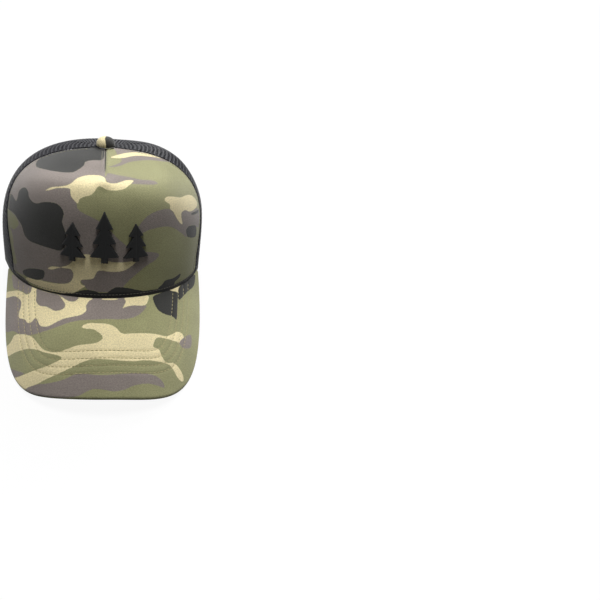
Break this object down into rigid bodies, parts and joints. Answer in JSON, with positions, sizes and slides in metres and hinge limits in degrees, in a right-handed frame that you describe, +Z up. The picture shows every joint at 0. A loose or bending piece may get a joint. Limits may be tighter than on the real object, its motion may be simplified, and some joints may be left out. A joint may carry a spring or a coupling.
{
  "type": "trucker mesh cap",
  "caption": "Trucker cap with a padded camouflage front, curved visor, knitted mesh crown, covered button, sweatband and arched rear opening with a plastic snap closure.",
  "frame": {"origin": "middle of the table under the cap set down on its visor and rear hem", "axes": "+Z up, -Y towards the front of the visor, +X towards the wearer's left"},
  "size_m": [0.1718, 0.2645, 0.1244],
  "materials": {
    "camouflage_cloth": "matte twill",
    "lining": "matte foam",
    "mesh": "knitted",
    "tape": "matte twill",
    "sweatband": "matte",
    "embroidery": "satin thread",
    "visor_board": "matte",
    "strap": "satin",
    "button_metal": "plain"
  },
  "bodies": {
    "cap": {"front_panel": "camouflage_cloth", "front_lining": "lining", "side_mesh_left": "mesh", "side_mesh_right": "mesh", "rear_mesh_left": "mesh", "rear_mesh_right": "mesh", "seam_tape_front_left": "tape", "seam_tape_front_right": "tape", "seam_tape_side_left": "tape", "seam_tape_side_right": "tape", "seam_tape_rear": "tape", "button_cover": "camouflage_cloth", "button_shell": "button_metal", "button_back": "button_metal", "visor_top_cover": "camouflage_cloth", "visor_board": "visor_board", "visor_bottom_cover": "camouflage_cloth", "sweatband": "sweatband", "rear_arch_binding": "tape", "hole_strap_tab": "strap", "peg_strap_tab": "strap", "emblem_tree_left": "embroidery", "emblem_tree_middle": "embroidery", "emblem_tree_right": "embroidery"},
    "hole_strap": {"hole_strap": "strap"},
    "peg_strap": {"peg_strap": "strap"}
  },
  "joints": [
    {"name": "hole_strap_flex", "type": "hinge", "parent": "cap", "child": "hole_strap", "pos_m": [-0.03212, 0.11941, 0.01657], "axis": [0, 0.2106, 0.9776], "range_deg": [0, 40], "stiffness_Nm_per_rad": 0.03},
    {"name": "peg_strap_flex", "type": "hinge", "parent": "cap", "child": "peg_strap", "pos_m": [0.03127, 0.11775, 0.01693], "axis": [0, 0.2106, 0.9776], "range_deg": [0, 35], "stiffness_Nm_per_rad": 0.03}
  ]
}
